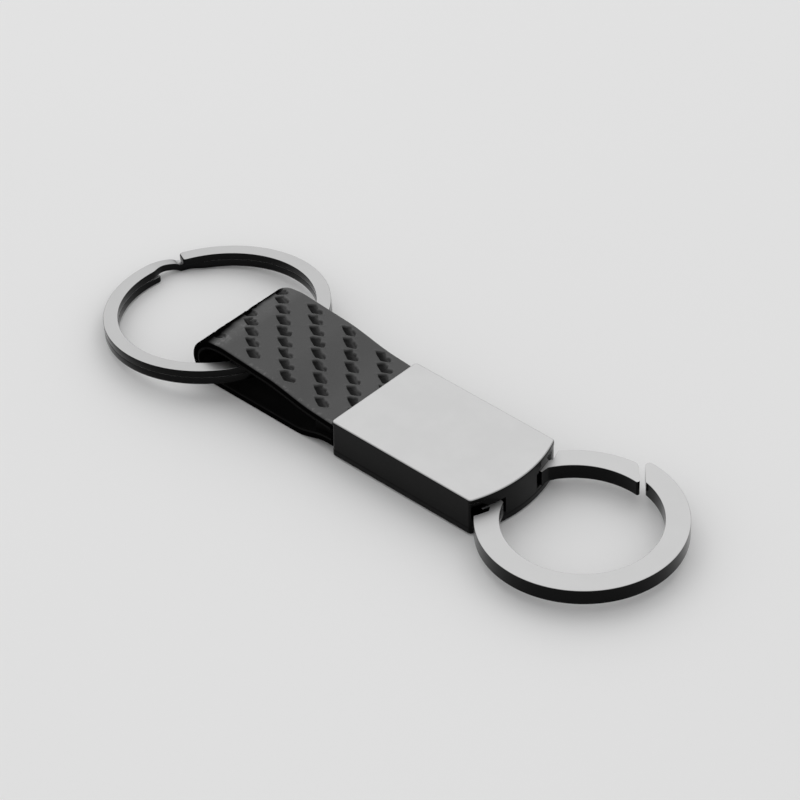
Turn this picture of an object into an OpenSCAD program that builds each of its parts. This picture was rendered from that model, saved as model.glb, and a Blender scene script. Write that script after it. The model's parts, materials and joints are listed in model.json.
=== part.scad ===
// Key organiser: a polished metal case that holds an opening front ring and a leather strap
// folded round a rear split ring. Millimetres, +Z up, +X towards the front ring.
// The origin is the centre of the case's flat underside.

/* [Case] */
// Length of the case between its corners
case_l = 26.5; // [26:0.1:28]
// Width of the case
case_w = 18; // [17.8:0.1:19]
// Height of the case
case_h = 6.4; // [6.3:0.1:7]
// How far the front edge bulges past the front corners
front_bulge = 1.95; // [1.6:0.05:2.2]
// Radius of the case's upright corners
corner_r = 0.6; // [0.3:0.1:0.8]
// Thickness of the frame's walls
wall = 1.1; // [0.9:0.1:1.2]
// Thickness of the polished top plate
top_t = 0.8; // [0.7:0.1:0.9]
// Thickness of the base plate
base_t = 1.2; // [1.1:0.1:1.3]
// Rounding of the top plate's upper edge
top_edge = 0.24; // [0.1:0.02:0.3]
// Bevel round the base plate's lower edge
base_bevel = 0.35; // [0.2:0.05:0.5]

/* [Front ring] */
// Outer radius of the opening arm
ring_r = 15.05; // [14.9:0.05:15.15]
// Width of the ring seen from above
ring_w = 3.55; // [3.4:0.05:3.65]
// Thickness of the ring
ring_t = 2.45; // [2.3:0.05:2.5]
// Height of the ring's underside above the surface
ring_z = 1.85; // [1.8:0.05:1.95]
// Distance of the ring's centre ahead of the case's centre
ring_x = 25.8; // [25.7:0.1:25.9]
// Width of the cut between the two arms
cut_w = 0.85; // [0.6:0.05:1.2]
// Direction of the cut, from the X axis
cut_angle = 132; // [125:1:140]
// Gap between the opening arm's shoulder and the case
shoulder_gap = 0.9; // [0.8:0.05:1]
// Gap between the fixed arm's shoulder and the case
fixed_gap = 0.45; // [0.3:0.05:0.6]

/* [Strap] */
// Width of the leather strap
strap_w = 17.3; // [16.8:0.1:17.6]
// Thickness of the outer leather
leather_t = 0.9; // [0.8:0.05:0.95]
// Thickness of the lining
lining_t = 0.35; // [0.25:0.05:0.4]
// Outer radius of the fold round the split ring
fold_r = 3.6; // [3.5:0.05:3.8]
// Distance of the fold's centre behind the case's centre
fold_x = 37.7; // [37.2:0.1:38]

/* [Split ring] */
// Outer radius of the split ring
split_r = 16.95; // [16.8:0.05:17.05]
// Width of its flat wire
split_w = 2.15; // [2:0.05:2.3]
// Thickness of both turns together
split_t = 2.3; // [2.2:0.05:2.4]
// Distance of its centre behind the case's centre
split_x = 46.1; // [46:0.1:46.5]
// Sideways place of its centre
split_y = 1.4; // [1:0.1:1.6]
// Angle at which it rises towards the case
split_tilt = 4.8; // [4.5:0.1:4.9]
// Angle at which it leans sideways
split_lean = 1; // [0.5:0.1:1.2]

/* [Hidden] */

eps = 0.01;
far = 60;                // past every edge of the object
fit = 0.02;              // radial clearance of a fixed pin
slip = 0.05;             // clearance of a piece that slides or turns
ring_fn = 192;
post_fn = 48;

// Case
front_r = (pow(case_w / 2, 2) + pow(front_bulge, 2)) / (2 * front_bulge);
front_cx = case_l / 2 + front_bulge - front_r;
plate_z = case_h - top_t;
lip = 0.05;              // how far the plates stand out past the frame
rib_x = -6.9;            // cross rib between the strap pocket and the mechanism
rib_t = 1;
post_r = 1.7;
pin_r = 0.8;
pin_base_z = base_t - 0.5;
pin_top_z = plate_z + 0.4;
screw_at = [[-4.6, -6.1], [-4.6, 6.1], [3.5, -6.1], [3.5, 6.1]];
screw_r = 0.7;
screw_head_r = 1.25;
screw_head_t = 0.55;
screw_sink = 0.05;       // depth of the head's flat top below the base
screw_l = 4.1;
drive_slot = [1.6, 0.26, 0.35]; // length, width and depth of each arm of the screw's cross slot

// Front ring. The fixed arm lies on a slightly larger circle than the opening arm.
ring_c = [ring_x, 0.3];
fixed_c = [ring_x - 0.45, -0.65];
fixed_r = ring_r + 0.35;
fixed_w = ring_w - 0.2;
tip_from = 20;           // past this direction the opening arm lies on a flatter arc, as far as its tip
tip_r = ring_r + 1;
tip_c = ring_c - (tip_r - ring_r) * [cos(tip_from), sin(tip_from)];
cut_at = [ring_x, 13.33];
cut_low_y = 9.5;         // the cut is beyond this, and the rest of the far side is beyond the ring
cut_u = [cos(cut_angle), sin(cut_angle)];
cut_n = [sin(cut_angle), -cos(cut_angle)];
gate_round = [0.67, 0.35]; // rounding of the opening arm's end, at its outer and at its inner edge
fixed_round = [1.85, 0.35];
neck_w = 1.5;            // width left between an arm's shoulder slot and its inner edge
ring_edge = 0.1;         // rounding of the arms' long edges
ring_top = ring_z + ring_t;
pivot = [12.1, -4.9];
eye_r = 2.1;
bush_t = 0.35;
heel_x = 6.5;            // tip of the lever behind the pivot
heel_y = [-5.9, -4.1];
heel_r = (heel_y[1] - heel_y[0]) / 2;
wall_x = 15;             // just past the front wall, where the straight parts of the necks end
gate_arc_y = [-20, -4.2];
fixed_arc_y = [4.6, 20];
fixed_neck_y = [4.2, 5.9];
flange_y = [-7.3, -4.4];
flange_out = 0.2;        // how far the opening arm's flange stands out of the front wall
stop_at = [7.7, heel_y[0] - pin_r - slip];
tail_x = [5.6, 12.9];
tail_y = [3.4, 7.2];
tail_pins = [[7.4, 5.3], [11.1, 5.3]];
gate_notch = [-7.75, -3.3];  // opening in the front wall for the opening arm's neck
fixed_notch = [3.3, 7.3];
gate_play = 0.12;        // room above the opening arm in its notch
land_z = ring_z - 2 * fit;

// Gate spring, a torsion spring above the arm's eye
wire_r = 0.2;
coil_r = 1.1;
coil_z = ring_top + wire_r + fit;
coil_pitch = 0.41;
coil_turns = 2;
coil_steps = 44;
hook_at = [8.1, heel_y[1] + wire_r + slip]; // where the lower leg goes down beside the heel
hook_bend = 0.3;
hook_low_z = ring_z + 0.6;

// Strap. The outside of the strap runs from inside the case along the top, round the fold
// and back along the underside.
ply_gap = 0.02;
ply_t = leather_t + ply_gap + lining_t;
mouth_x = -case_l / 2;
strap_end = -7.2;
strap_top = plate_z - 0.1;
strap_low = base_t + 0.15;
tongue_w = case_w - 2 * wall - 0.4;
rest_z = 0.02;
fold_z = rest_z + fold_r;
bend_x = [-20.6, -14.4]; // where the underside lifts off the surface and where it is level again
leg_end = mouth_x - 0.1;
leg_run = [fold_x + leg_end, strap_top - fold_z];
leg_slope = asin(fold_r / norm(leg_run)) - atan(leg_run[1] / leg_run[0]);
filler_x = -17.5;
strap_pins = [[-10.2, -4.4], [-10.2, 4.4]];

// Split ring
turn_gap = 0.05;
turn_t = (split_t - turn_gap) / 2;
turn_edge = 0.1;         // bevel along the wire's edges
split_slope = acos(cos(split_tilt) * cos(split_lean));
split_z = split_r * sin(split_slope) + split_t / 2 * cos(split_slope) + rest_z;
end_angle = 155;         // where the upper turn ends
ramp = [338, 358];       // travel along the wire, in degrees, over which it steps down
wire_end = 696;

function arc(c, r, a0, a1, n) =
    [for (i = [0 : n]) let (a = a0 + (a1 - a0) * i / n) c + r * [cos(a), sin(a)]];

// Outline of the case seen from above, drawn in by d
function case_outline(d) =
    let (half = case_w / 2 - d,
         back = -case_l / 2 + d,
         r = max(corner_r - d, 0.1),
         front = front_r - d,
         corner_x = front_cx + sqrt(pow(front - r, 2) - pow(half - r, 2)),
         a = atan2(half - r, corner_x - front_cx))
    concat(arc([back + r, r - half], r, 180, 270, 6),
           arc([corner_x, r - half], r, -90, -a, 6),
           arc([front_cx, 0], front, -a, a, 32),
           arc([corner_x, half - r], r, a, 90, 6),
           arc([back + r, half - r], r, 90, 180, 6));

function smooth(t) = t * t * (3 - 2 * t);

// Outside of the strap in the XZ plane
function strap_path() =
    concat([[strap_end, strap_top], [leg_end, strap_top]],
           arc([-fold_x, fold_z], fold_r, 90 - leg_slope, 270, 40),
           [for (i = [0 : 12]) let (t = i / 12)
               [bend_x[0] + (bend_x[1] - bend_x[0]) * t, rest_z + (strap_low - rest_z) * smooth(t)]],
           [[strap_end, strap_low]]);

// The same path moved in by d, towards the inside of the fold
function strap_inside(d) =
    let (p = strap_path(), last = len(p) - 1)
    [for (i = [0 : last])
        let (v = p[min(i + 1, last)] - p[max(i - 1, 0)], n = [-v[1], v[0]] / norm(v))
        i == 0 || i == last ? p[i] + [d > 0 ? 1 : 0, sign(n[1]) * d] : p[i] + n * d];

module block(x, y, z) {
    translate([x[0], y[0], z[0]]) cube([x[1] - x[0], y[1] - y[0], z[1] - z[0]]);
}

module post(at, r, z0, z1) {
    translate([at[0], at[1], z0]) cylinder(r = r, h = z1 - z0, $fn = post_fn);
}

module slab(d, z0, z1) {
    translate([0, 0, z0]) linear_extrude(z1 - z0) polygon(case_outline(d));
}

// Solid of the space between the strap's outside moved in by d0 and by d1
module strap_ply(d0, d1) {
    linear_extrude_y(strap_w) difference() {
        polygon(strap_inside(d0));
        polygon(strap_inside(d1));
    }
}

module linear_extrude_y(width) {
    translate([0, width / 2, 0]) rotate([90, 0, 0]) linear_extrude(width) children();
}

// The strap is full width outside the case and a narrower tongue inside it
module trim_tongue() {
    intersection() {
        children();
        union() {
            block([-far, leg_end + slip], [-strap_w / 2, strap_w / 2], [-1, case_h + 3]);
            block([leg_end, strap_end], [-tongue_w / 2, tongue_w / 2], [-1, case_h + 3]);
        }
    }
}

module strap_pin_holes() {
    for (p = strap_pins) post(p, pin_r + fit, 0, case_h);
}

// One full turn of an arm's section, with rounded long edges
module ring_turn(c, r, w) {
    e = ring_edge;
    translate([c[0], c[1], ring_z]) rotate_extrude($fn = ring_fn)
        polygon(concat(arc([r - e, e], e, -90, 0, 4), arc([r - e, ring_t - e], e, 0, 90, 4),
                       arc([r - w + e, ring_t - e], e, 90, 180, 4), arc([r - w + e, e], e, 180, 270, 4)));
}

module case_disc(grow) {
    translate([front_cx, 0, 0]) cylinder(r = front_r + grow, h = case_h, $fn = ring_fn);
}

// The side of the ring on which the opening arm lies on its flatter arc
module tip_zone() {
    translate([ring_c[0], ring_c[1], 0]) rotate([0, 0, tip_from]) block([-far, far], [0, far], [0, case_h]);
}

// Everything on the fixed arm's side of the ring, up to a line moved by d from the middle of the cut
module fixed_zone(d) {
    block([0, ring_x - 6], [0, far], [0, case_h]);
    intersection() {
        block([0, far], [cut_low_y, far], [0, case_h]);
        translate([cut_at[0], cut_at[1], 0]) rotate([0, 0, cut_angle - 90])
            block([-far, d], [-far, far], [0, case_h]);
    }
}

// Place of a point a from the cut's line and r from the arm's centre, on the side of the outer edge
// or, where far is -1, of the inner one
function by_cut(c, r, a) =
    let (q = cut_at + a * cut_n - c, b = q * cut_u, t = -b + sqrt(b * b - q * q + r * r))
    c + q + t * cut_u;

// Rounds the corner between an arm's end and its edge of radius r, with radius f; out is 1 on the
// outer edge and -1 on the inner one, side is 1 for the opening arm
module round_corner(c, r, f, out, side) {
    a = side * cut_w / 2;
    mid = by_cut(c, r - out * f, a + side * f);
    on_edge = c + (mid - c) * r / norm(mid - c);
    difference() {
        translate([0, 0, -1]) linear_extrude(case_h + 2)
            polygon([mid, mid - side * f * cut_n * 1.5, by_cut(c, r + out * f, a - side * f / 2),
                     c + (on_edge - c) * (r + out * f) / r]);
        post(mid, f, -2, case_h + 2);
    }
}

// The part of a neck that is an arc, from the shoulder into the front wall
module neck(c, r_in, y) {
    intersection() {
        difference() {
            post(c, r_in + neck_w, ring_z, ring_top);
            post(c, r_in, ring_z - 1, ring_top + 1);
        }
        difference() {
            case_disc(shoulder_gap + 0.3);
            block([-20, 0], [-20, 20], [-1, case_h + 1]);
        }
        block([pivot[0], ring_x], y, [0, case_h]);
    }
}

module case_frame() {
    color("#3a3c40") difference() {
        union() {
            difference() {
                slab(lip, base_t, plate_z);
                slab(wall, base_t - 1, plate_z + 1);
                block([-case_l, mouth_x + wall + 1], [wall - case_w / 2, case_w / 2 - wall], [0, case_h]);
            }
            block([rib_x, rib_x + rib_t], [eps - case_w / 2 + wall, case_w / 2 - wall - eps],
                  [base_t, plate_z]);
            for (p = screw_at) {
                post(p, post_r, base_t, plate_z);
                block([p[0] - post_r, p[0] + post_r],
                      p[1] < 0 ? [-case_w / 2 + wall - eps, p[1]] : [p[1], case_w / 2 - wall + eps],
                      [base_t, plate_z]);
            }
        }
        for (p = screw_at) post(p, screw_r + fit, base_t - 1, screw_l + 0.3);
        block([tail_x[1] - 1, ring_x], gate_notch, [0, ring_top + gate_play]);
        block([tail_x[1] - 1, ring_x], fixed_notch, [0, ring_top + fit]);
    }
}

module pin_sockets(z0, z1) {
    for (p = concat(strap_pins, tail_pins, [pivot, stop_at])) post(p, pin_r + fit, z0, z1);
}

module top_plate() {
    color("#c9cacc") difference() {
        hull() {
            slab(0, plate_z, case_h - top_edge);
            slab(top_edge * 0.3, plate_z, case_h - top_edge * 0.3);
            slab(top_edge, plate_z, case_h);
        }
        pin_sockets(plate_z - 1, pin_top_z + fit);
    }
}

module base_plate() {
    color("#3a3c40") difference() {
        union() {
            hull() {
                slab(base_bevel, 0, base_t);
                slab(0, base_bevel, base_t);
            }
            block([tail_x[0] + 0.2, tail_x[1]], [tail_y[0] + 0.1, tail_y[1] - 0.1], [base_t - eps, land_z]);
            intersection() {
                block([tail_x[1] - 0.6, ring_x], [gate_notch[0] + slip, fixed_notch[1] - slip],
                      [base_t - eps, land_z]);
                difference() {
                    slab(lip, 0, case_h);
                    slab(wall - eps, -1, case_h + 1);
                    block([0, ring_x], [gate_notch[1] - slip, fixed_notch[0] + slip], [0, case_h]);
                }
            }
        }
        pin_sockets(pin_base_z - fit, base_t + 1);
        post(pivot, eye_r, base_t, case_h);
        for (p = screw_at) {
            post(p, screw_r + fit, -1, base_t + 1);
            translate([p[0], p[1], -eps])
                cylinder(r1 = screw_head_r + screw_sink + 1.5 * fit, r2 = screw_r + fit,
                         h = screw_head_t + screw_sink + eps, $fn = post_fn);
        }
    }
}

module base_screw(i) {
    p = screw_at[i - 1];
    color("#8d9096") difference() {
        union() {
            translate([p[0], p[1], screw_sink])
                cylinder(r1 = screw_head_r, r2 = screw_r, h = screw_head_t, $fn = post_fn);
            post(p, screw_r, screw_head_t / 2, screw_l);
        }
        translate([p[0], p[1], 0]) for (a = [0, 90]) rotate([0, 0, a])
            block([-drive_slot[0], drive_slot[0]] / 2, [-drive_slot[1], drive_slot[1]] / 2,
                  [-1, drive_slot[2]]);
    }
}

module strap_outer() {
    color("#18181a") difference() {
        trim_tongue() strap_ply(0, leather_t);
        strap_pin_holes();
    }
}

module strap_lining() {
    color("#242426") difference() {
        trim_tongue() strap_ply(leather_t + ply_gap, ply_t);
        strap_pin_holes();
    }
}

module strap_filler() {
    color("#2a2a2c") difference() {
        linear_extrude_y(tongue_w) intersection() {
            polygon(strap_inside(ply_t + ply_gap));
            translate([filler_x, 0]) square([strap_end - filler_x, case_h]);
        }
        strap_pin_holes();
    }
}

module strap_pin(i) {
    color("#a8abb0") post(strap_pins[i - 1], pin_r, pin_base_z, pin_top_z);
}

module gate_arm() {
    color("#b9bbbf") difference() {
        union() {
            difference() {
                union() {
                    difference() {
                        ring_turn(ring_c, ring_r, ring_w);
                        tip_zone();
                    }
                    intersection() {
                        ring_turn(tip_c, tip_r, ring_w);
                        tip_zone();
                    }
                }
                case_disc(shoulder_gap);
                fixed_zone(cut_w / 2);
                round_corner(tip_c, tip_r, gate_round[0], 1, 1);
                round_corner(tip_c, tip_r - ring_w, gate_round[1], -1, 1);
            }
            neck(ring_c, ring_r - ring_w, gate_arc_y);
            intersection() {
                difference() {
                    case_disc(flange_out);
                    case_disc(-2 * wall);
                }
                block([pivot[0], ring_x], flange_y, [ring_z, ring_top]);
            }
            post(pivot, eye_r, ring_z, ring_top);
            block([heel_x + heel_r, wall_x], heel_y, [ring_z, ring_top]);
            post([heel_x + heel_r, heel_y[0] + heel_r], heel_r, ring_z, ring_top);
        }
        post(pivot, pin_r + bush_t + fit, 0, case_h);
    }
}

module gate_bush() {
    color("#c9a45c") difference() {
        post(pivot, pin_r + bush_t, ring_z, ring_top);
        post(pivot, pin_r + slip, 0, case_h);
    }
}

module gate_pivot_pin() {
    color("#a8abb0") post(pivot, pin_r, pin_base_z, pin_top_z);
}

module gate_washer() {
    color("#a8abb0") difference() {
        post(pivot, eye_r - 0.2, base_t + fit, ring_z - fit);
        post(pivot, pin_r + slip, 0, case_h);
    }
}

// The spring's wire from the frame's wall, down the coil and out to the heel. Each entry is a point
// with the wire's heading and its slope there.
function spring_path() =
    let (h = hook_at - pivot,
         leave = atan2(h[1], h[0]) + acos(coil_r / norm(h)),
         travel = 360 * coil_turns - (leave - 180),
         rise = coil_pitch * travel / 360,
         out = leave - 90,
         bend = hook_at - hook_bend * [cos(out), sin(out)])
    concat([[[pivot[0] - coil_r, wall - case_w / 2 + 2 * slip, coil_z + rise], 90, 0]],
           [for (i = [0 : coil_steps])
               let (t = i / coil_steps, a = 180 - travel * t, z = coil_z + rise * (1 - t))
               [[pivot[0] + coil_r * cos(a), pivot[1] + coil_r * sin(a), z], a - 90, 0]],
           [for (b = [22.5 : 22.5 : 90])
               [[bend[0] + hook_bend * sin(b) * cos(out), bend[1] + hook_bend * sin(b) * sin(out),
                 coil_z - hook_bend * (1 - cos(b))], out, -b]],
           [[[hook_at[0], hook_at[1], hook_low_z], out, -90]]);

// Eight points round the wire at one entry of its path
function wire_section(p) =
    let (g = p[1],
         s = p[2],
         across = [-sin(g), cos(g), 0],
         up = [-sin(s) * cos(g), -sin(s) * sin(g), cos(s)])
    [for (b = [0 : 45 : 315]) p[0] + wire_r * (cos(b) * across + sin(b) * up)];

// Faces of a tube whose points come in rings of eight
function tube_faces(n) =
    concat([[for (k = [0 : 7]) k]],
           [[for (k = [7 : -1 : 0]) n * 8 + k]],
           [for (i = [0 : n - 1]) for (k = [0 : 7]) let (j = (k + 1) % 8)
               [i * 8 + k, (i + 1) * 8 + k, (i + 1) * 8 + j, i * 8 + j]]);

module gate_spring() {
    path = spring_path();
    color("#8d9096") polyhedron([for (p = path) each wire_section(p)], tube_faces(len(path) - 1));
}

module gate_stop_pin() {
    color("#a8abb0") post(stop_at, pin_r, pin_base_z, pin_top_z);
}

module fixed_arm() {
    color("#b9bbbf") difference() {
        union() {
            difference() {
                intersection() {
                    ring_turn(fixed_c, fixed_r, fixed_w);
                    fixed_zone(-cut_w / 2);
                }
                case_disc(fixed_gap);
                round_corner(fixed_c, fixed_r, fixed_round[0], 1, -1);
                round_corner(fixed_c, fixed_r - fixed_w, fixed_round[1], -1, -1);
            }
            neck(fixed_c, fixed_r - fixed_w, fixed_arc_y);
            block([tail_x[1] - 1, wall_x], fixed_neck_y, [ring_z, ring_top]);
            block(tail_x, tail_y, [ring_z, ring_top]);
        }
        for (p = tail_pins) post(p, pin_r + fit, 0, case_h);
    }
}

module fixed_arm_pin(i) {
    color("#a8abb0") post(tail_pins[i - 1], pin_r, pin_base_z, pin_top_z);
}

// Eight corners of the flat wire's section at travel s degrees
function wire_ring(s) =
    let (a = end_angle - s,
         drop = smooth(min(max((s - ramp[0]) / (ramp[1] - ramp[0]), 0), 1)),
         mid = (turn_t + turn_gap) / 2 * (1 - 2 * drop),
         e = turn_edge,
         h = turn_t / 2)
    [for (q = [[0, -h + e], [0, h - e], [-e, h], [-split_w + e, h],
               [-split_w, h - e], [-split_w, -h + e], [-split_w + e, -h], [-e, -h]])
        [(split_r + q[0]) * cos(a), (split_r + q[0]) * sin(a), mid + q[1]]];

module rear_split_ring() {
    steps = 174;
    color("#b9bbbf") translate([-split_x, split_y, split_z]) rotate([-split_lean, -split_tilt, 0])
        polyhedron([for (i = [0 : steps]) each wire_ring(wire_end * i / steps)], tube_faces(steps));
}

case_frame();
top_plate();
base_plate();
base_screw(1);  // base_screw_1
base_screw(2);  // base_screw_2
base_screw(3);  // base_screw_3
base_screw(4);  // base_screw_4
strap_outer();
strap_lining();
strap_filler();
strap_pin(1);  // strap_pin_1
strap_pin(2);  // strap_pin_2
gate_arm();
gate_bush();
gate_pivot_pin();
gate_washer();
gate_spring();
gate_stop_pin();
fixed_arm();
fixed_arm_pin(1);  // fixed_arm_pin_1
fixed_arm_pin(2);  // fixed_arm_pin_2
rear_split_ring();
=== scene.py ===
"""Key organiser: a polished case, an opening front ring and a leather strap folded round a split ring."""

import json
import math

import bmesh
import bpy
import numpy as np
from mathutils import Matrix, Vector


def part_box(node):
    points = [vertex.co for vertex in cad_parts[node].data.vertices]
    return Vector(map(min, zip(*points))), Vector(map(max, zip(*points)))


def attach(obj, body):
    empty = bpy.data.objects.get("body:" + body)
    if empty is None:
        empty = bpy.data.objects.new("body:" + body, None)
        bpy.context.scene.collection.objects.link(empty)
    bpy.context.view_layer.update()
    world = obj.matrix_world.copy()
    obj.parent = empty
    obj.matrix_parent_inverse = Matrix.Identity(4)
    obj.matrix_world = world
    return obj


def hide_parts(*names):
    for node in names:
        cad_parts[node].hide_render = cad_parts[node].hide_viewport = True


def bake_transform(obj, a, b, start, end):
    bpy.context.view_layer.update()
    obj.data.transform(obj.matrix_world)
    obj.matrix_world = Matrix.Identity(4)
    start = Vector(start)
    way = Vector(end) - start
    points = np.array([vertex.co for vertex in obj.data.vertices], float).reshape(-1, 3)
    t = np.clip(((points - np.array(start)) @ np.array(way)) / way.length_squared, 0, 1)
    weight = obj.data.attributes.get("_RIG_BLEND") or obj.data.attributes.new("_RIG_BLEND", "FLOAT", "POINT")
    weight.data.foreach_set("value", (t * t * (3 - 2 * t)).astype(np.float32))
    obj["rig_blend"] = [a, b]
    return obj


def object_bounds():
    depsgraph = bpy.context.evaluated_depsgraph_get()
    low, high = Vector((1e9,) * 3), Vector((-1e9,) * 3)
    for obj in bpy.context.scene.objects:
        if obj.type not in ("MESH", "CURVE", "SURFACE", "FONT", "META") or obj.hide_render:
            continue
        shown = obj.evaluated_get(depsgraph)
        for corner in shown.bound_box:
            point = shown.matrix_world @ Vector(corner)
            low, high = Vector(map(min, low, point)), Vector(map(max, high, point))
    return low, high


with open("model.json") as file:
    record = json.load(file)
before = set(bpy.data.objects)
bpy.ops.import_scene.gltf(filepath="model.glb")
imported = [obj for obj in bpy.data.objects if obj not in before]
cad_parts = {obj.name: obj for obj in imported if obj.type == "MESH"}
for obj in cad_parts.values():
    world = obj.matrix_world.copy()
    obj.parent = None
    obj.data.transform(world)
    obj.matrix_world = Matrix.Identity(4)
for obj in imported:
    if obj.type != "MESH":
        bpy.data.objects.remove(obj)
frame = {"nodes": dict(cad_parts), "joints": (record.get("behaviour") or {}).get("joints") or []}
cad_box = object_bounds()
scene = bpy.context.scene
MM = 0.001

# ---------------------------------------------------------------- camera
# Where the camera stands; its heading from +X, how far it looks down and its roll, in degrees; and
# its lens in millimetres
CAMERA_AT = Vector((307.28, -335.03, 380.63)) * MM
CAMERA_HEADING = 133.27
CAMERA_ELEVATION = 39.04
CAMERA_ROLL = -1.17
CAMERA_LENS = 187.2


def make_camera():
    heading, elevation, roll = map(math.radians, (CAMERA_HEADING, CAMERA_ELEVATION, CAMERA_ROLL))
    forward = Vector((math.cos(elevation) * math.cos(heading), math.cos(elevation) * math.sin(heading),
                      -math.sin(elevation)))
    level = Vector((math.sin(heading), -math.cos(heading), 0))
    upright = level.cross(forward)
    right = level * math.cos(roll) + upright * math.sin(roll)
    up = upright * math.cos(roll) - level * math.sin(roll)
    turn = Matrix((right, up, -forward)).transposed()
    camera = bpy.data.objects.new("camera", bpy.data.cameras.new("camera"))
    camera.data.lens = CAMERA_LENS
    camera.data.clip_start = 0.01
    camera.matrix_world = Matrix.Translation(CAMERA_AT) @ turn.to_4x4()
    scene.collection.objects.link(camera)
    scene.camera = camera


# ---------------------------------------------------------------- shader helpers
def new_material(name):
    material = bpy.data.materials.new(name)
    material.use_nodes = True
    tree = material.node_tree
    return material, tree, tree.nodes["Principled BSDF"]


def feed(tree, socket, value):
    """Links a socket to another node's output, or sets it to a plain value."""
    if isinstance(value, bpy.types.NodeSocket):
        tree.links.new(value, socket)
    else:
        socket.default_value = value


def math_node(tree, operation, a, b=0.0, clamp=False):
    made = tree.nodes.new("ShaderNodeMath")
    made.operation = operation
    made.use_clamp = clamp
    feed(tree, made.inputs[0], a)
    feed(tree, made.inputs[1], b)
    return made.outputs[0]


def ramp(tree, value, low, high, to_low=0.0, to_high=1.0):
    """value from low to high becomes to_low to to_high, smoothly and held at both ends."""
    made = tree.nodes.new("ShaderNodeMapRange")
    made.interpolation_type = "SMOOTHSTEP"
    for socket, x in zip(made.inputs, (value, low, high, to_low, to_high)):
        feed(tree, socket, x)
    return made.outputs[0]


def mix_colour(tree, share, a, b):
    made = tree.nodes.new("ShaderNodeMix")
    made.data_type = "RGBA"
    feed(tree, made.inputs["Factor"], share)
    feed(tree, made.inputs["A"], a)
    feed(tree, made.inputs["B"], b)
    return made.outputs["Result"]


def place(tree, scale=(1, 1, 1)):
    """Position on the object, in millimetres, stretched by scale."""
    at = tree.nodes.new("ShaderNodeTexCoord")
    made = tree.nodes.new("ShaderNodeMapping")
    made.inputs["Scale"].default_value = [s / MM for s in scale]
    tree.links.new(at.outputs["Object"], made.inputs["Vector"])
    return made.outputs[0]


def noise(tree, where, scale, detail=3.0, roughness=0.5):
    made = tree.nodes.new("ShaderNodeTexNoise")
    feed(tree, made.inputs["Vector"], where)
    made.inputs["Scale"].default_value = scale
    made.inputs["Detail"].default_value = detail
    made.inputs["Roughness"].default_value = roughness
    return made.outputs[0]


def bump(tree, height, distance, strength):
    made = tree.nodes.new("ShaderNodeBump")
    made.inputs["Strength"].default_value = strength
    made.inputs["Distance"].default_value = distance
    feed(tree, made.inputs["Height"], height)
    return made.outputs[0]


def grey(value):
    return (value, value, value, 1.0)


# ---------------------------------------------------------------- materials
# Depth of the grinding marks, in millimetres
GRAIN_DEPTH = 0.0006


def metal(name, face, wall, face_rough, wall_rough, grain=(1.0, 14.0, 1.0), level_from=0.4, level_to=0.75):
    """Plated metal with satin-ground flat faces. Its colour is painted light and shade: the flat faces
    get a light tone for the softbox they mirror and the walls a near-black one for the dark
    surroundings they mirror. grain is how the grinding marks are stretched: a large number runs
    across them. A surface counts as flat by how much it faces up or down, from level_from to level_to."""
    material, tree, shader = new_material(name)
    at = tree.nodes.new("ShaderNodeTexCoord")
    split = tree.nodes.new("ShaderNodeSeparateXYZ")
    tree.links.new(at.outputs["Normal"], split.inputs[0])
    level = math_node(tree, "ABSOLUTE", split.outputs["Z"])
    flat = ramp(tree, level, level_from, level_to)
    where = place(tree)
    marks = noise(tree, place(tree, grain), 5.0, 6.0, 0.7)
    smudge = noise(tree, where, 0.16, 3.0, 0.55)
    pits = noise(tree, where, 9.0, 2.0, 0.6)
    # Painted light and shade: flat faces take the light tone, walls the near-black one
    lit_face_tone = mix_colour(tree, ramp(tree, smudge, 0.35, 0.7), grey(face * 0.97), grey(face * 1.03))
    shaded_wall_tone = mix_colour(tree, ramp(tree, pits, 0.3, 0.75), grey(wall * 0.85), grey(wall * 1.2))
    feed(tree, shader.inputs["Base Color"], mix_colour(tree, flat, shaded_wall_tone, lit_face_tone))
    shader.inputs["Metallic"].default_value = 1.0
    rough = ramp(tree, flat, 0.0, 1.0, wall_rough, face_rough)
    rough = math_node(tree, "ADD", rough, ramp(tree, smudge, 0.3, 0.7, -0.02, 0.035))
    feed(tree, shader.inputs["Roughness"],
         math_node(tree, "ADD", rough, ramp(tree, marks, 0.3, 0.7, -0.015, 0.03), clamp=True))
    feed(tree, shader.inputs["Normal"], bump(tree, marks, GRAIN_DEPTH * MM, 0.6))
    return material


def plain_metal(name, colour, rough):
    """Turned or drawn metal of the small inner pieces."""
    material, tree, shader = new_material(name)
    where = place(tree, (1, 1, 5))
    marks = noise(tree, where, 6.0, 4.0, 0.6)
    dark = [c * 0.75 for c in colour[:3]] + [1.0]
    feed(tree, shader.inputs["Base Color"], mix_colour(tree, ramp(tree, marks, 0.35, 0.65), dark, colour))
    shader.inputs["Metallic"].default_value = 1.0
    feed(tree, shader.inputs["Roughness"], ramp(tree, marks, 0.3, 0.7, rough - 0.06, rough + 0.08))
    feed(tree, shader.inputs["Normal"], bump(tree, marks, 0.002 * MM, 0.5))
    return material


# Depth of the leather's pores, in millimetres, and how much of its gloss comes from the coat
PORE_DEPTH = 0.012
COAT_SHARE = 0.44


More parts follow.
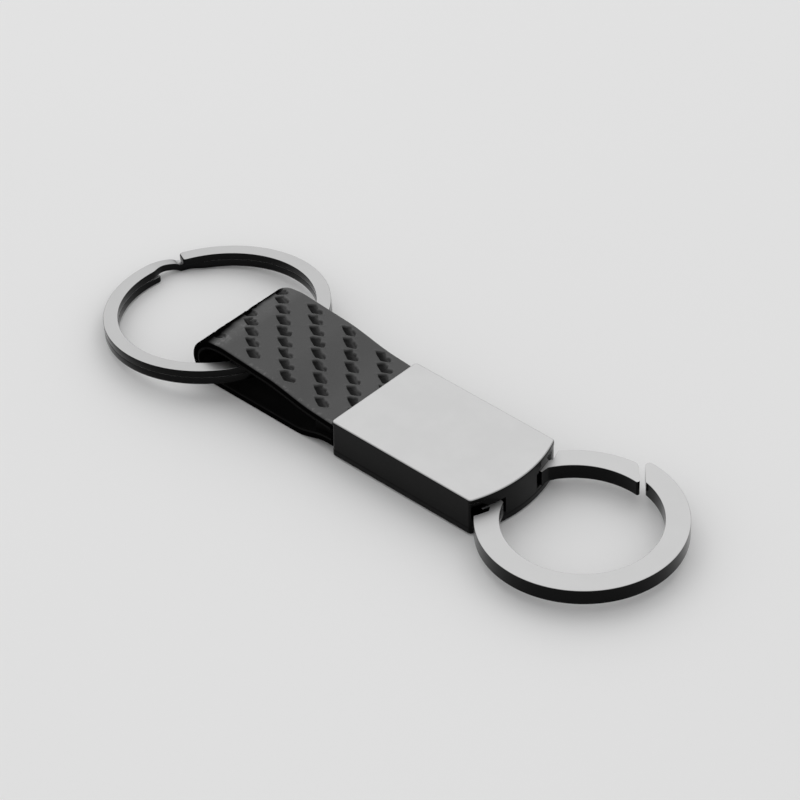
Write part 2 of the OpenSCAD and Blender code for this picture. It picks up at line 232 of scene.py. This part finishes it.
def leather(name, tone, rough, gloss, dents=False):
    """Black coated leather. The dent attribute is 1 in the embossed dents, which it darkens and dulls:
    partly their matt finish, partly painted shade. The attribute for the sides and the fold is 1 on the
    dark-painted sides, made blacker and glossless as painted shade, and round the fold, where the dark
    is painted shade. The attribute for scuffs lightens the coat where it is scuffed at the fold and
    paints a highlight along the near rim."""
    material, tree, shader = new_material(name)
    where = place(tree)
    grain = noise(tree, where, 5.5, 5.0, 0.62)
    cells = tree.nodes.new("ShaderNodeTexVoronoi")
    cells.feature = "DISTANCE_TO_EDGE"
    cells.inputs["Scale"].default_value = 3.2
    tree.links.new(where, cells.inputs["Vector"])
    creases = ramp(tree, cells.outputs["Distance"], 0.0, 0.12)
    cloud = noise(tree, where, 0.35, 3.0, 0.5)
    colour = mix_colour(tree, ramp(tree, cloud, 0.3, 0.7), grey(tone * 0.85), grey(tone * 1.2))
    shine = math_node(tree, "ADD", ramp(tree, cloud, 0.3, 0.7, rough - 0.03, rough + 0.04),
                      ramp(tree, grain, 0.3, 0.7, -0.03, 0.05))
    height = math_node(tree, "ADD", math_node(tree, "MULTIPLY", creases, 0.35), grain)
    if dents:
        dent_shade = tree.nodes.new("ShaderNodeAttribute")
        dent_shade.attribute_name = "dent"
        threads = noise(tree, place(tree, (0.9, 3.2, 1.0)), 1.6, 3.0, 0.65)
        # The dents are painted darker: partly their matt recessed finish, partly painted shade falling into
        # them
        dark = mix_colour(tree, ramp(tree, threads, 0.35, 0.65), grey(tone * 0.12), grey(tone * 0.5))
        colour = mix_colour(tree, dent_shade.outputs["Fac"], colour, dark)
        shine = math_node(tree, "ADD", shine, math_node(tree, "MULTIPLY", dent_shade.outputs["Fac"], 0.16))
        height = math_node(tree, "ADD", height, math_node(tree, "MULTIPLY", dent_shade.outputs["Fac"], threads))
    edge = tree.nodes.new("ShaderNodeAttribute")
    edge.attribute_name = "edge"
    worn_and_highlit = tree.nodes.new("ShaderNodeAttribute")
    worn_and_highlit.attribute_name = "wear_and_edge_highlight"
    speckle = ramp(tree, noise(tree, place(tree, (1.0, 0.6, 1.0)), 1.7, 5.0, 0.7), 0.5, 0.62)
    scuffs_and_highlight = math_node(tree, "MULTIPLY", worn_and_highlit.outputs["Fac"], speckle)
    # Lighter where the coat is scuffed at the fold, and a painted highlight along the near rim
    colour = mix_colour(tree, scuffs_and_highlight, colour, grey(tone * 4.2))
    shine = math_node(tree, "ADD", shine, math_node(tree, "MULTIPLY", scuffs_and_highlight, 0.1))
    # Sides get dark paint, made blacker as painted shade, and the fold is painted dark as shade
    feed(tree, shader.inputs["Base Color"], mix_colour(tree, edge.outputs["Fac"], colour, grey(tone * 0.08)))
    feed(tree, shader.inputs["Roughness"], math_node(tree, "ADD", shine, 0.0, clamp=True))
    shader.inputs["Specular IOR Level"].default_value = gloss
    shader.inputs["Coat Weight"].default_value = gloss * COAT_SHARE
    if dents:
        # Dents, sides and the fold lose their gloss: partly matt finish, partly painted shade
        matt_and_shaded = math_node(tree, "MAXIMUM", edge.outputs["Fac"], dent_shade.outputs["Fac"])
        feed(tree, shader.inputs["Specular IOR Level"], ramp(tree, matt_and_shaded, 0.0, 1.0, gloss, 0.0))
        feed(tree, shader.inputs["Coat Weight"], ramp(tree, matt_and_shaded, 0.0, 1.0, gloss * COAT_SHARE, 0.0))
    shader.inputs["Coat Roughness"].default_value = 0.3
    feed(tree, shader.inputs["Normal"], bump(tree, height, PORE_DEPTH * MM, 0.7))
    return material


def paper_floor():
    material, tree, shader = new_material("pale_floor")
    where = place(tree)
    cloud = noise(tree, where, 0.004, 3.0, 0.5)
    feed(tree, shader.inputs["Base Color"], mix_colour(tree, cloud, grey(0.83), grey(0.88)))
    shader.inputs["Roughness"].default_value = 0.85
    shader.inputs["Specular IOR Level"].default_value = 0.2
    fibre = noise(tree, where, 1.5, 4.0, 0.6)
    feed(tree, shader.inputs["Normal"], bump(tree, fibre, 0.01 * MM, 0.2))
    return material


# ---------------------------------------------------------------- mesh helpers
def new_piece(name, points, faces, material, body=None, stands_for=()):
    mesh = bpy.data.meshes.new(name)
    mesh.from_pydata([list(p) for p in points], [], faces)
    mesh.validate()
    made = bpy.data.objects.new(name, mesh)
    scene.collection.objects.link(made)
    return finished(made, material, body, stands_for)


def finished(made, material, body=None, stands_for=()):
    made.data.materials.clear()
    made.data.materials.append(material)
    if stands_for:
        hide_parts(*stands_for)
    if body:
        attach(made, body)
    return made


def smooth(made, angle, weighted=True):
    made.data.shade_smooth()
    made.data.set_sharp_from_angle(angle=math.radians(angle))
    if weighted:
        modifier = made.modifiers.new("weighted_normals", "WEIGHTED_NORMAL")
        modifier.keep_sharp = True
        modifier.weight = 100


# Edges sharper than this are broken, in degrees
BREAK_ANGLE = 38.0


def cad_copy(name, node, material, body, width, segments=3):
    """A copy of a CAD node with its edges broken, so that they catch the light."""
    made = bpy.data.objects.new(name, frame["nodes"][node].data.copy())
    scene.collection.objects.link(made)
    work = bmesh.new()
    work.from_mesh(made.data)
    bmesh.ops.remove_doubles(work, verts=work.verts, dist=0.0005 * MM)
    bmesh.ops.dissolve_limit(work, angle_limit=math.radians(0.6), verts=work.verts, edges=work.edges)
    work.to_mesh(made.data)
    work.free()
    for attribute in [a for a in made.data.attributes if a.name == "custom_normal"]:
        made.data.attributes.remove(attribute)
    broken = made.modifiers.new("broken_edges", "BEVEL")
    broken.width = width * MM
    broken.segments = segments
    broken.limit_method = "ANGLE"
    broken.angle_limit = math.radians(BREAK_ANGLE)
    broken.harden_normals = False
    broken.miter_outer = "MITER_ARC"
    finished(made, material, body, [node])
    smooth(made, 35.0)


def loft(loops):
    """Points and faces of a closed shell through loops of equal length, each a list of points."""
    count = len(loops[0])
    points = [p for loop in loops for p in loop]
    faces = []
    for i in range(len(loops) - 1):
        for k in range(count):
            j = (k + 1) % count
            faces.append((i * count + k, i * count + j, (i + 1) * count + j, (i + 1) * count + k))
    faces.append(tuple(reversed(range(count))))
    faces.append(tuple(range((len(loops) - 1) * count, len(loops) * count)))
    return points, faces


def arc(centre, radius, start, stop, steps):
    """Points on an arc in a plane, with its angles in degrees."""
    made = []
    for i in range(steps + 1):
        a = math.radians(start + (stop - start) * i / steps)
        made.append((centre[0] + radius * math.cos(a), centre[1] + radius * math.sin(a)))
    return made


# ---------------------------------------------------------------- scene
def make_floor():
    half = 3.0
    corners = [(-half, -half, 0), (half, -half, 0), (half, half, 0), (-half, half, 0)]
    floor = new_piece("floor", corners, [(0, 1, 2, 3)], paper_floor())


# The softbox: how far it is raised above the place that flat faces mirror to the camera, in degrees;
# its distance and its side in metres; and its power in watts
SOFTBOX_RAISED = 12.0
SOFTBOX_FAR, SOFTBOX_SIDE, SOFTBOX_POWER = 1.3, 1.9, 7.5
SURROUND_STRENGTH = 0.66


def make_lights():
    """A large softbox behind and above the object, and pale surroundings."""
    centre = (cad_box[0] + cad_box[1]) / 2
    heading = math.radians(CAMERA_HEADING)
    away = Vector((math.cos(heading), math.sin(heading), 0))
    raised = math.radians(CAMERA_ELEVATION + SOFTBOX_RAISED)
    towards = away * math.cos(raised) + Vector((0, 0, math.sin(raised)))
    lamp = bpy.data.lights.new("softbox", "AREA")
    lamp.energy = SOFTBOX_POWER
    lamp.size = SOFTBOX_SIDE
    softbox = bpy.data.objects.new("softbox", lamp)
    softbox.location = centre + towards * SOFTBOX_FAR
    softbox.rotation_euler = (-towards).to_track_quat("-Z", "Y").to_euler()
    scene.collection.objects.link(softbox)
    world = bpy.data.worlds.new("studio")
    scene.world = world
    world.use_nodes = True
    background = world.node_tree.nodes["Background"]
    background.inputs["Color"].default_value = grey(1.0)
    background.inputs["Strength"].default_value = SURROUND_STRENGTH


# ---------------------------------------------------------------- case
CASE_LO, CASE_HI = (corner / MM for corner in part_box("top_plate"))
# The case's length between its corners, its width and its height
CASE_L, CASE_W, CASE_H = 26.5, CASE_HI.y * 2, CASE_HI.z
# Radii of its upright corners and of the smallest rounding, and the plate's upper radius and foot bevel
CORNER_R, SMALLEST_R = 0.6, 0.08
PLATE_EDGE_R, PLATE_BEVEL = 0.3, 0.06
PLATE_Z = CASE_LO.z
# How far the front edge bulges past the front corners, and its radius
FRONT_BULGE = CASE_HI.x - CASE_L / 2
FRONT_R = ((CASE_W / 2) ** 2 + FRONT_BULGE ** 2) / (2 * FRONT_BULGE)


def case_outline(inset, z):
    """The case's outline seen from above, drawn in by inset, at height z."""
    half = CASE_W / 2 - inset
    back = -CASE_L / 2 + inset
    r = max(CORNER_R - inset, SMALLEST_R)
    centre_x = CASE_HI.x - FRONT_R
    front = FRONT_R - inset
    corner_x = centre_x + math.sqrt((front - r) ** 2 - (half - r) ** 2)
    a = math.degrees(math.atan2(half - r, corner_x - centre_x))
    flat = (arc((back + r, r - half), r, 180, 270, 8) + arc((corner_x, r - half), r, -90, -a, 8)
            + arc((centre_x, 0), front, -a, a, 64)[1:-1] + arc((corner_x, half - r), r, a, 90, 8)
            + arc((back + r, half - r), r, 90, 180, 8))
    return [Vector((x, y, z)) * MM for x, y in flat]


def bore(made, nodes, clearance=0.02):
    """Cuts a hole round each of the CAD pins named."""
    points, faces = [], []
    for name in nodes:
        low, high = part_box(name)
        middle = (low + high) / 2 / MM
        ring = arc((middle.x, middle.y), (high.x - low.x) / 2 / MM + clearance, 0, 360, 32)[:-1]
        more, sides = loft([[Vector((x, y, z)) * MM for x, y in ring]
                            for z in (low.z / MM - 1, high.z / MM + clearance)])
        faces += [tuple(len(points) + k for k in side) for side in sides]
        points += more
    cutter = new_piece("cutter", points, faces, made.data.materials[0])
    cut = made.modifiers.new("bore", "BOOLEAN")
    cut.operation = "DIFFERENCE"
    cut.solver = "EXACT"
    cut.object = cutter
    bpy.context.view_layer.update()
    made.data = bpy.data.meshes.new_from_object(made.evaluated_get(bpy.context.evaluated_depsgraph_get()))
    made.modifiers.clear()
    bpy.data.objects.remove(cutter)


def make_top_plate(material):
    loops = [case_outline(PLATE_BEVEL, PLATE_Z), case_outline(0, PLATE_Z + PLATE_BEVEL)]
    for i in range(7):
        turn = math.radians(15 * i)
        inset = PLATE_EDGE_R * (1 - math.cos(turn))
        loops.append(case_outline(inset, CASE_H - PLATE_EDGE_R + PLATE_EDGE_R * math.sin(turn)))
    points, faces = loft(loops)
    plate = new_piece("polished_plate", points, faces, material, "case", ["top_plate"])
    bore(plate, ["strap_pin_1", "strap_pin_2", "fixed_arm_pin_1", "fixed_arm_pin_2",
                 "gate_pivot_pin", "gate_stop_pin"])
    smooth(plate, 40.0)


# ---------------------------------------------------------------- split ring
# Outer radius, width of the wire and thickness of both turns
SPLIT_R, SPLIT_W, SPLIT_T = 16.95, 2.18, 2.3
# Its angles about Y and about X in degrees, and the height of its centre when it rests on its rim
SPLIT_TILT, SPLIT_LEAN = 5.9, 1.04
SPLIT_SLOPE = math.acos(math.cos(math.radians(SPLIT_TILT)) * math.cos(math.radians(SPLIT_LEAN)))
SPLIT_Z = SPLIT_R * math.sin(SPLIT_SLOPE) + SPLIT_T / 2 * math.cos(SPLIT_SLOPE) + 0.02
SPLIT_CENTRE = Vector((-45.98, 1.25, SPLIT_Z))
# Gap between the turns, rounding of the wire's edges and length of its rounded ends
TURN_GAP = 0.03
WIRE_EDGE_R, NOSE_L = 0.07, 0.55
# Where the wire starts, as an angle in the ring's plane, and how many degrees of wire there are
END_ANGLE = 155.0
WIRE_TRAVEL = 705.0
WIRE_STEPS = 464
# Travel along the wire, in degrees, and the share of the step down made there, measured in the photo
STEP_TRAVEL = (342.0, 344.7, 347.3, 349.9, 352.3, 354.7, 356.0, 358.6)
STEP_SHARE = (0.0, 0.04, 0.12, 0.2, 0.33, 0.48, 0.6, 1.0)
# Where the wire is narrower on its inner side for the step
NARROW_FROM, NARROW_TO = (339.0, 348.5), (362.0, 374.0)
NARROW_BY = 0.65
# The lower end is flattened over its last degrees to pass under the step
FLAT_FROM, FLAT_BY = 690.0, 0.22


def smoothstep(t):
    t = min(max(t, 0.0), 1.0)
    return t * t * (3 - 2 * t)


def share_of(value, low, high):
    """0 below low and 1 above high, with a smooth rise between them."""
    return smoothstep((value - low) / (high - low))


def wire_section(half_w, half_h, r):
    """A rectangle with rounded corners round the origin."""
    made = []
    for sx, sy, start in ((1, 1, 0), (-1, 1, 90), (-1, -1, 180), (1, -1, 270)):
        made += arc((sx * (half_w - r), sy * (half_h - r)), r, start, start + 90, 4)
    return made


def make_split_ring(material):
    turn_t = (SPLIT_T - TURN_GAP) / 2
    tilt = Matrix.Rotation(-math.radians(SPLIT_TILT), 4, "Y")
    lean = tilt @ Matrix.Rotation(-math.radians(SPLIT_LEAN), 4, "X")
    mid_r = SPLIT_R - SPLIT_W / 2
    tip = math.degrees(NOSE_L / mid_r)
    even = [WIRE_TRAVEL * i / WIRE_STEPS for i in range(WIRE_STEPS + 1)]
    fine = [tip * (1 - math.cos(math.radians(15 * k))) for k in range(7)]
    travels = fine + [t for t in even if tip < t < WIRE_TRAVEL - tip]
    travels += [WIRE_TRAVEL - f for f in reversed(fine)]
    loops = []
    for travel in travels:
        to_end = min(travel, WIRE_TRAVEL - travel) / tip
        narrow = NOSE_L * (1 - math.sqrt(max(0.0, 1 - (1 - min(to_end, 1.0)) ** 2)))
        drop = np.interp(travel, STEP_TRAVEL, STEP_SHARE)
        flat = FLAT_BY / 2 * share_of(travel, FLAT_FROM, WIRE_TRAVEL)
        middle = (turn_t + TURN_GAP) / 2 * (1 - 2 * drop) - flat
        a = math.radians(END_ANGLE - travel)
        loop = []
        thin = min(narrow * 0.35, 0.15)
        pinch = NARROW_BY * (share_of(travel, *NARROW_FROM) - share_of(travel, *NARROW_TO))
        for x, z in wire_section(SPLIT_W / 2 - narrow - pinch / 2, turn_t / 2 - thin - flat, WIRE_EDGE_R):
            r = mid_r + pinch / 2 + x
            loop.append((lean @ Vector((r * math.cos(a), r * math.sin(a), middle + z)) + SPLIT_CENTRE) * MM)
        loops.append(list(reversed(loop)))
    points, faces = loft(loops)
    ring = new_piece("split_ring", points, faces, material, "rear_ring", ["rear_split_ring"])
    smooth(ring, 50.0)


# ---------------------------------------------------------------- strap
STRAP_W = 17.3
LEATHER_T, PLY_GAP, LINING_T = 0.9, 0.02, 0.35
# Height of the lower leg above the floor, and the fold's outer radius and centre
REST_Z = 0.04
FOLD_R = 3.6
FOLD_X, FOLD_Z = -37.7, FOLD_R + REST_Z
# Where the strap ends inside the case, the heights of its two ends there, and where it leaves the case
STRAP_END, STRAP_TOP, STRAP_LOW = -7.2, PLATE_Z - 0.1, 1.35
LEG_END = -13.35
# The lower leg rises between these places, and the strap is narrower where it goes into the case
BEND_X = (-20.6, -14.4)
TONGUE_W, TONGUE_FROM = 15.4, LEG_END - 0.08


def strap_path(spacing):
    """Points along the outside of the strap in the XZ plane, evenly spaced, and how far along each is."""
    run_x, run_z = LEG_END - FOLD_X, STRAP_TOP - FOLD_Z
    reach = math.hypot(run_x, run_z)
    slope = math.degrees(math.asin(FOLD_R / reach) - math.atan2(run_z, run_x))
    coarse = [(STRAP_END, STRAP_TOP), (LEG_END, STRAP_TOP)]
    coarse += arc((FOLD_X, FOLD_Z), FOLD_R, 90 - slope, 270, 120)
    for t in np.linspace(0, 1, 41):
        x = BEND_X[0] + (BEND_X[1] - BEND_X[0]) * t
        coarse.append((x, REST_Z + (STRAP_LOW - REST_Z) * smoothstep(t)))
    coarse.append((STRAP_END, STRAP_LOW))
    coarse = np.array(coarse)
    length = np.concatenate([[0], np.cumsum(np.hypot(*np.diff(coarse, axis=0).T))])
    at = np.linspace(0, length[-1], int(round(length[-1] / spacing)) + 1)
    path = np.stack([np.interp(at, length, coarse[:, 0]), np.interp(at, length, coarse[:, 1])], 1)
    return path, at


def inward_normals(path):
    ahead = np.gradient(path, axis=0)
    ahead /= np.linalg.norm(ahead, axis=1)[:, None]
    return np.stack([-ahead[:, 1], ahead[:, 0]], 1)


# The dents of the embossing: one dent's place along the strap's outside, as X would be if the strap
# lay flat, and across it; the step to the next dent of its column; and the step to the next column
DENT_AT = np.array([-24.64, 0.42])
DENT_STEP = np.array([1.764, -1.68])
DENT_COLUMN = np.array([6.834, 0.016])
DENT_LONG, DENT_WIDE, DENT_DEEP = 3.15, 1.95, 0.26
# A dent's middle lies within this stretch across the strap, and dents fade out over its margin
DENT_NEAR, DENT_FAR = -6.9, 8.2
DENT_MARGIN = 0.9
# A dent's upper and lower outline, as shares of its half length and half width
DENT_UPPER = ((-1.0, -0.3, 0.25, 0.7, 1.0), (0.0, 1.0, 0.5, 0.5, 0.0))
DENT_LOWER = ((-1.0, -0.6, 0.15, 0.85, 1.0), (0.0, -0.45, -1.0, -0.35, 0.0))
# The width of the slope at a dent's edge, and the low rim pressed up round it
DENT_WALL = 0.26
RIM_HIGH, RIM_WIDE = 0.035, 0.12


def embossing(u, v):
    """How deep the embossing is at u along and v across the strap, in millimetres, and how dark it
    is painted there, from 0 to 1: partly the dents' matt finish, partly painted shade in the recess."""
    basis = np.linalg.inv(np.stack([DENT_STEP, DENT_COLUMN], 1))
    offset = np.stack([u - DENT_AT[0], v - DENT_AT[1]], -1)
    cell = np.floor(offset @ basis.T)
    depth, shade, rim = np.zeros_like(u), np.zeros_like(u), np.zeros_like(u)
    for i in (-1, 0, 1, 2):
        for j in (0, 1):
            near = cell + np.array([i, j])
            centre = near @ np.stack([DENT_STEP, DENT_COLUMN])
            # Two values from -1 to 1 of each dent's own, so that no two dents are quite alike
            odd = np.sin(near[..., 0] * 12.9 + near[..., 1] * 78.2)
            even = np.sin(near[..., 0] * 39.3 - near[..., 1] * 11.1)
            x = (offset[..., 0] - centre[..., 0]) / (DENT_LONG / 2) * (1 + 0.05 * odd)
            y = (offset[..., 1] - centre[..., 1]) / (DENT_WIDE / 2) * (1 + 0.05 * even)
            notch = 0.25 * odd * np.exp(-((x - 0.3) / 0.15) ** 2) + 0.12 * even * np.sin(9 * x + 3 * odd)
            upper = np.interp(x, *DENT_UPPER) + notch - y
            lower = y - np.interp(x, *DENT_LOWER)
            # Distance inside the dent's outline, below 0 outside it
            within = np.minimum(np.minimum(upper, lower) * DENT_WIDE / 2, (1 - np.abs(x)) * DENT_LONG / 2)
            middle = centre[..., 1] + DENT_AT[1]
            there = ((middle > DENT_NEAR) & (middle < DENT_FAR)).astype(float)
            there = there * np.clip((STRAP_W / 2 - np.abs(v)) / DENT_MARGIN, 0, 1)
            wall = np.clip(within / DENT_WALL, 0, 1)
            wall = wall * wall * (3 - 2 * wall)
            # A raised thread crosses the dent, and its floor slants
            thread = np.exp(-((x * 0.8 + y - 0.45) / 0.28) ** 2) * (0.7 + 0.3 * even)
            slant = np.clip(0.55 - 0.3 * x - 0.35 * y, 0, 1)
            depth = np.maximum(depth, there * wall * (0.75 + 0.25 * slant - 0.35 * thread))
            # Painted shade: the dent is darker towards its slanted lower-left side, turned from the light,
            # and lighter on the raised thread
            shade = np.maximum(shade, there * wall * (0.55 + 0.45 * slant) * (1 - 0.35 * thread))
            rim = np.maximum(rim, there * np.exp(-((within + 0.1) / RIM_WIDE) ** 2))
    return depth * DENT_DEEP - rim * (depth <= 0) * RIM_HIGH, shade


# The split ring presses the top leg up from inside, between the case and the fold
SWELL_FROM, SWELL_RISE, SWELL_FALL, SWELL_END = -17.0, 9.5, 5.5, -40.3
SWELL_HIGH = 0.86


def swell(x, share):
    """How far the top leg is pushed out at x along the strap; share is 0 on the lower leg."""
    rise = smoothstep((SWELL_FROM - x) / SWELL_RISE)
    fall = smoothstep((x - SWELL_END) / SWELL_FALL)
    return SWELL_HIGH * share * rise * fall


# Round the fold the leather is painted dark past this place, as painted shade for the dark the turned-away
# fold mirrors, and it is scuffed just before it
FOLD_SHADE_FROM, FOLD_SHADE_OVER = -37.0, 2.0
WEAR_AT, WEAR_WIDE = -36.6, 0.9
# How far in from the rounded side the painted highlight line along it lies: a lighter speckled line for the
# glint on that rounding
EDGE_HIGHLIGHT_IN = 0.15


def edge_paint(x, y, skin):
    """How far each point of a loop at x is darkened: dark paint on the sides, made blacker as painted shade,
    and painted shade round the fold.
    """
    painted = np.zeros_like(y)
    painted[:2] = 1
    painted[skin - 2:] = 1
    painted[skin + 1:-1] = 0.5
    # Painted shade round the fold: past a wandering border the leather is painted dark and glossless
    wander = 0.12 * np.sin(1.1 * y + 1) + 0.06 * np.sin(2.9 * y) - 0.09 * y
    fold_shade = np.clip((FOLD_SHADE_FROM + wander - x) / FOLD_SHADE_OVER, 0, 1)
    return np.maximum(painted, fold_shade * fold_shade * (3 - 2 * fold_shade))


def scuffs_and_edge_highlight_at(x, y, skin, rim):
    """How scuffed each point of a loop at x is, at the fold and most towards -Y, and how much painted
    highlight it takes along the -Y side.
    """
    scuffs_and_highlight = np.exp(-((x - WEAR_AT) / WEAR_WIDE) ** 2) * np.clip(0.45 - y / 12, 0, 1)
    # A painted highlight: a lighter line along the -Y rim, for the glint on its rounded top
    scuffs_and_highlight = np.maximum(scuffs_and_highlight, 0.8 * np.exp(-((y + rim) / 0.3) ** 2))
    scuffs_and_highlight[skin:] = 0
    return scuffs_and_highlight


def ply(outside, inside, spacing, round_out, emboss):
    """One layer of the strap between two depths from its outside, as a closed shell: a list of loops
    along the strap, with the darkness of the embossing, partly painted shade, the share of dark side
    paint and painted fold shade, and the share of scuffs and painted highlight at each point."""
    path, along = strap_path(spacing)
    normal = inward_normals(path)
    place_u = LEG_END - (along - (STRAP_END - LEG_END))
    turns = np.radians(np.linspace(0, 90, 5))
    flat = np.linspace(-1, 1, int(round(STRAP_W / spacing)) + 1)[1:-1]
    shut = np.linspace(1, -1, 9)[1:-1]
    loops, dents, edges, wear_and_edge_highlight = [], [], [], []
    for i in range(len(path)):
        half = TONGUE_W / 2 if path[i, 0] > TONGUE_FROM else STRAP_W / 2
        side_y = half - round_out * (1 - np.sin(turns))
        side_d = round_out * (1 - np.cos(turns))
        y = np.concatenate([-side_y[::-1], flat * (half - round_out), side_y, [half], half * shut, [-half]])
        skin = len(turns) * 2 + len(flat)
        press, dent = np.zeros_like(y), np.zeros_like(y)
        if emboss:
            press[:skin], dent[:skin] = embossing(np.full(skin, place_u[i]), y[:skin])
        pushed = swell(path[i, 0], max(-normal[i, 1], 0.0))
        depth = outside + press - pushed
        depth[:len(turns)] += side_d[::-1]
        depth[skin - len(turns):skin] += side_d
        depth[skin:] = inside - pushed
        x, z = (path[i, k] + normal[i, k] * depth for k in (0, 1))
        loops.append(np.stack([x, y, z], 1) * MM)
        dents.append(dent)
        edges.append(edge_paint(path[i, 0], y, skin))
        on_top = normal[i, 1] < 0
        wear_and_edge_highlight.append(scuffs_and_edge_highlight_at(path[i, 0], y, skin, half - round_out - EDGE_HIGHLIGHT_IN) * on_top)
    return loops, dents, edges, wear_and_edge_highlight


def make_ply(name, node, material, outside, inside, spacing, round_out=0.0, emboss=False):
    loops, dents, edges, wear_and_edge_highlight = ply(outside, inside, spacing, round_out, emboss)
    points, faces = loft(loops)
    made = new_piece(name, points, faces, material, None, [node])
    for key, values in (("dent", dents), ("edge", edges), ("wear_and_edge_highlight", wear_and_edge_highlight)):
        layer = made.data.attributes.new(key, "FLOAT", "POINT")
        layer.data.foreach_set("value", np.concatenate(values).astype(np.float32))
    bore(made, ["strap_pin_1", "strap_pin_2"])
    smooth(made, 50.0, weighted=False)
    flex(made)


# Over this length behind the joint the strap turns with it little by little
FLEX_L = 9.5


def flex(made):
    """The piece bends where the strap leaves the case."""
    joint = next(j for j in frame["joints"] if j["name"] == "strap_flex")
    start = Vector(joint["pos_m"])
    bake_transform(made, "case", "strap", start=start, end=start - Vector((FLEX_L, 0, 0)) * MM)


# Where the filler ends, a little behind the case
FILLER_END = -17.5


def make_filler(material):
    """The block between the strap's two legs, from inside the case to just behind it."""
    path, _ = strap_path(0.3)
    depth = LEATHER_T + LINING_T + 2 * PLY_GAP
    inner = path + inward_normals(path) * depth
    half = len(path) // 2
    loops = []
    for x in np.linspace(STRAP_END, FILLER_END, 42):
        top = np.interp(-x, -inner[:half, 0], inner[:half, 1])
        low = np.interp(x, inner[half:, 0], inner[half:, 1])
        y = TONGUE_W / 2
        loops.append([Vector((x, s * y, z)) * MM for s, z in ((-1, low), (-1, top), (1, top), (1, low))])
    points, faces = loft(loops)
    made = new_piece("filler_ply", points, faces, material, None, ["strap_filler"])
    bore(made, ["strap_pin_1", "strap_pin_2"])
    smooth(made, 40.0, weighted=False)
    flex(made)


def make_strap():
    outer = leather("black_leather_look", 0.023, 0.42, 0.44, dents=True)
    # The lining and filler are near-black and almost glossless: partly black leather, partly painted shade
    # for the dark between the legs
    lining = leather("lining_leather_look", 0.01, 0.75, 0.08)
    make_ply("outer_leather", "strap_outer", outer, 0.0, LEATHER_T, 0.13, 0.22, True)
    make_ply("lining_ply", "strap_lining", lining, LEATHER_T + PLY_GAP,
             LEATHER_T + PLY_GAP + LINING_T, 0.5, 0.06)
    make_filler(leather("filler_leather_look", 0.006, 0.8, 0.0))


# ---------------------------------------------------------------- small pieces
# Widths of the spring's coil, which stays with the case, and of its hook, which goes with the arm;
# the leg between them bends
SPRING_COIL_W, SPRING_HOOK_W = 2.45, 0.55


def make_spring(material):
    made = bpy.data.objects.new("torsion_spring", frame["nodes"]["gate_spring"].data.copy())
    scene.collection.objects.link(made)
    finished(made, material, None, ["gate_spring"])
    smooth(made, 60.0, weighted=False)
    low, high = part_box("gate_spring")
    coil_side = Vector((high.x - SPRING_COIL_W * MM, 0, 0))
    hook_side = Vector((low.x + SPRING_HOOK_W * MM, 0, 0))
    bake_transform(made, "case", "gate", start=coil_side, end=hook_side)


def dress(nodes, material):
    """Gives CAD nodes that show as they are their material."""
    for name in nodes:
        frame["nodes"][name].material_slots[0].material = material


def make_object():
    plate = metal("plate_look", 0.49, 0.01, 0.36, 0.2)
    # The case frame and base are near-black all over: painted shade for the dark their polished walls mirror
    dark = metal("case_look", 0.02, 0.01, 0.3, 0.18, grain=(6.0, 6.0, 0.5))
    arms = metal("arm_look", 0.50, 0.01, 0.42, 0.16, grain=(3.0, 3.0, 3.0))
    ring = metal("split_ring_look", 0.44, 0.01, 0.36, 0.16, grain=(3.0, 3.0, 3.0),
                 level_from=0.82, level_to=0.93)
    steel = plain_metal("steel_look", grey(0.5), 0.25)
    brass = plain_metal("brass_look", (0.62, 0.42, 0.17, 1), 0.3)
    make_top_plate(plate)
    cad_copy("case_shell", "case_frame", dark, "case", 0.08)
    cad_copy("case_base", "base_plate", dark, "case", 0.06)
    cad_copy("opening_arm", "gate_arm", arms, "gate", 0.05)
    cad_copy("closed_arm", "fixed_arm", arms, "case", 0.05)
    for i in range(1, 5):
        cad_copy(f"screw_{i}", f"base_screw_{i}", steel, "case", 0.03, 2)
    make_split_ring(ring)
    make_strap()
    make_spring(steel)
    dress(["strap_pin_1", "strap_pin_2", "fixed_arm_pin_1", "fixed_arm_pin_2", "gate_pivot_pin",
           "gate_stop_pin", "gate_washer"], steel)
    dress(["gate_bush"], brass)


make_camera()
make_floor()
make_lights()
make_object()
scene.view_settings.view_transform = "Standard"
